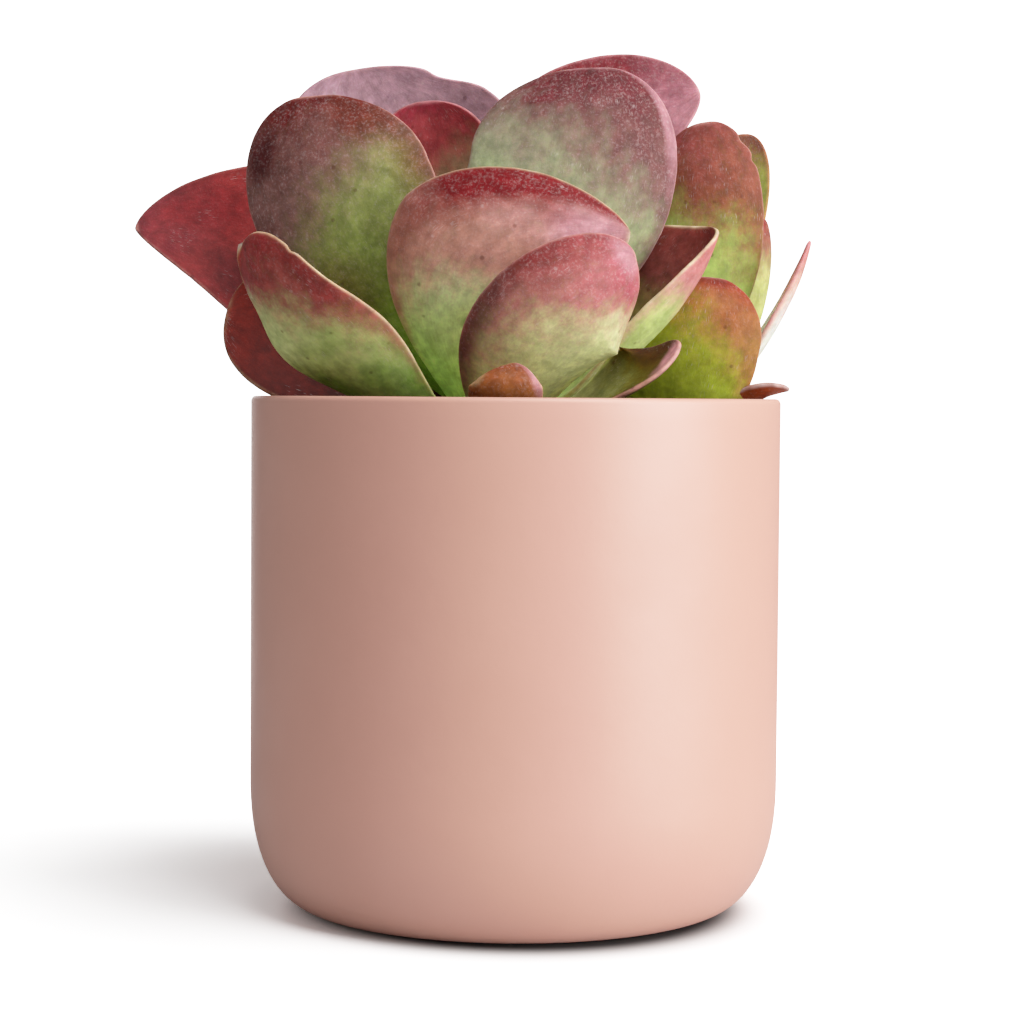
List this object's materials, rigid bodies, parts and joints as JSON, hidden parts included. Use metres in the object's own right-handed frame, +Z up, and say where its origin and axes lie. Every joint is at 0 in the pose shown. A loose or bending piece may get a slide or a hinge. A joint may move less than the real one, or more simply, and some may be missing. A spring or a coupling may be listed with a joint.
{
  "type": "potted paddle plant",
  "caption": "Potted paddle plant: broad, rounded succulent leaves in upright rosettes, growing from soil in a straight-sided matte pot with a rounded foot.",
  "frame": {"origin": "centre of the pot's flat base", "axes": "+Z up, -Y towards the front, +X to the right when seen from the front"},
  "size_m": [0.1757, 0.135, 0.2213],
  "materials": {
    "pot": "matte",
    "soil": "rough",
    "stem": "rough",
    "leaf_bloom": "satin, powdery",
    "leaf_crimson": "satin, powdery",
    "leaf_green": "satin, powdery"
  },
  "bodies": {
    "root": {"pot": "pot", "soil": "soil", "stem_main": "stem", "stem_side": "stem", "leaf_front_centre": "leaf_crimson", "leaf_front_right": "leaf_crimson", "leaf_front_left": "leaf_green", "leaf_left_tall": "leaf_bloom", "leaf_right_tall": "leaf_bloom", "leaf_back_left": "leaf_bloom", "leaf_inner_left": "leaf_crimson", "leaf_inner_right": "leaf_crimson", "leaf_back_right": "leaf_crimson", "leaf_middle_right": "leaf_green", "leaf_right_scoop": "leaf_crimson", "leaf_side_tall": "leaf_green", "leaf_side_back": "leaf_green", "leaf_side_edge": "leaf_green", "leaf_side_front": "leaf_green", "leaf_side_blade": "leaf_crimson", "leaf_side_small": "leaf_crimson", "leaf_right_small": "leaf_green", "leaf_front_stub": "leaf_crimson", "leaf_left_low": "leaf_crimson", "leaf_left_far": "leaf_crimson", "leaf_rear_left": "leaf_crimson", "leaf_rear_centre": "leaf_crimson", "leaf_rear_right": "leaf_crimson", "leaf_rear_low": "leaf_green", "leaf_side_rear": "leaf_green"}
  },
  "joints": []
}
